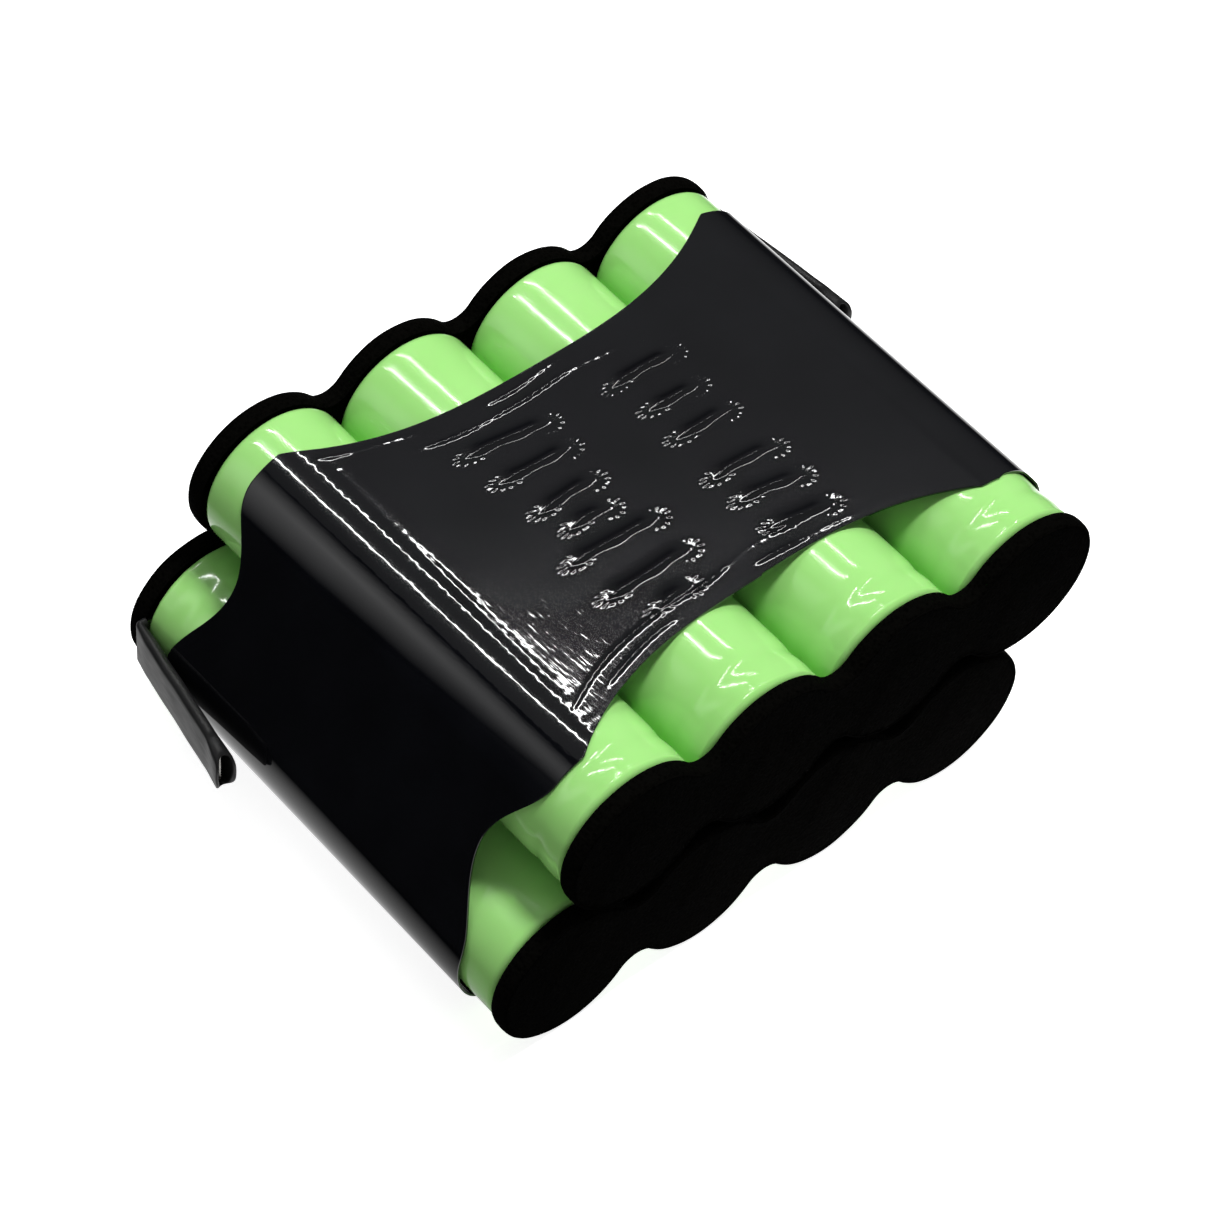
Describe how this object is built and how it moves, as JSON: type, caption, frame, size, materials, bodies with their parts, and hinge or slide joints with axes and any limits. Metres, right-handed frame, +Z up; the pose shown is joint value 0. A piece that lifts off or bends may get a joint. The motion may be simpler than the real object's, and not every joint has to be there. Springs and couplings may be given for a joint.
{
  "type": "battery pack",
  "caption": "Battery pack of flat-top AA cells in two nested rows, welded in series, in a black shrink film sleeve with foam end pads and two folded solder leads.",
  "frame": {"origin": "centre of the bounding box, on the flat underside of the film sleeve", "axes": "+X along the rows, towards the negative lead; +Y along the cells, towards the end that the leads come from; +Z up, from the lower row to the upper row"},
  "size_m": [0.0718, 0.0528, 0.028],
  "materials": {
    "black_film": "glossy shrink film",
    "green_wrap": "glossy thin vinyl wrap",
    "nickel_steel": "nickel-plated, drawn",
    "seal_nylon": "moulded nylon",
    "electrode": "wound electrode, dull",
    "ring_paper": "pressed insulating paper",
    "plug_rubber": "moulded rubber",
    "nickel_strip": "rolled nickel",
    "black_foam": "closed-cell foam, matte, fine grain",
    "sleeve_plastic": "glossy heat-shrink tube"
  },
  "bodies": {
    "pack": {"film_sleeve": "black_film", "wrap_lower_1": "green_wrap", "wrap_lower_2": "green_wrap", "wrap_lower_3": "green_wrap", "wrap_lower_4": "green_wrap", "wrap_upper_1": "green_wrap", "wrap_upper_2": "green_wrap", "wrap_upper_3": "green_wrap", "wrap_upper_4": "green_wrap", "can_lower_1": "nickel_steel", "can_lower_2": "nickel_steel", "can_lower_3": "nickel_steel", "can_lower_4": "nickel_steel", "can_upper_1": "nickel_steel", "can_upper_2": "nickel_steel", "can_upper_3": "nickel_steel", "can_upper_4": "nickel_steel", "cap_lower_1": "nickel_steel", "cap_lower_2": "nickel_steel", "cap_lower_3": "nickel_steel", "cap_lower_4": "nickel_steel", "cap_upper_1": "nickel_steel", "cap_upper_2": "nickel_steel", "cap_upper_3": "nickel_steel", "cap_upper_4": "nickel_steel", "gasket_lower_1": "seal_nylon", "gasket_lower_2": "seal_nylon", "gasket_lower_3": "seal_nylon", "gasket_lower_4": "seal_nylon", "gasket_upper_1": "seal_nylon", "gasket_upper_2": "seal_nylon", "gasket_upper_3": "seal_nylon", "gasket_upper_4": "seal_nylon", "electrode_roll_lower_1": "electrode", "electrode_roll_lower_2": "electrode", "electrode_roll_lower_3": "electrode", "electrode_roll_lower_4": "electrode", "electrode_roll_upper_1": "electrode", "electrode_roll_upper_2": "electrode", "electrode_roll_upper_3": "electrode", "electrode_roll_upper_4": "electrode", "insulator_rings": "ring_paper", "vent_plugs": "plug_rubber", "front_link_1": "nickel_strip", "front_link_2": "nickel_strip", "front_link_3": "nickel_strip", "front_link_4": "nickel_strip", "back_link_1": "nickel_strip", "back_link_2": "nickel_strip", "back_link_3": "nickel_strip", "pad_front_lower": "black_foam", "pad_front_upper": "black_foam", "pad_back_lower": "black_foam", "pad_back_upper": "black_foam", "positive_tab": "nickel_strip", "negative_tab": "nickel_strip"},
    "positive_lead": {"positive_lead_strip": "nickel_strip", "positive_lead_sleeve": "sleeve_plastic"},
    "negative_lead": {"negative_lead_strip": "nickel_strip", "negative_lead_sleeve": "sleeve_plastic"}
  },
  "joints": [
    {"name": "positive_lead_fold", "type": "hinge", "parent": "pack", "child": "positive_lead", "pos_m": [-0.0324, 0.02448, 0.00745], "axis": [0, 0, -1], "range_deg": [-2, 80]},
    {"name": "negative_lead_fold", "type": "hinge", "parent": "pack", "child": "negative_lead", "pos_m": [0.0337, 0.02448, 0.01939], "axis": [0, 0, 1], "range_deg": [-1, 84.5]}
  ]
}
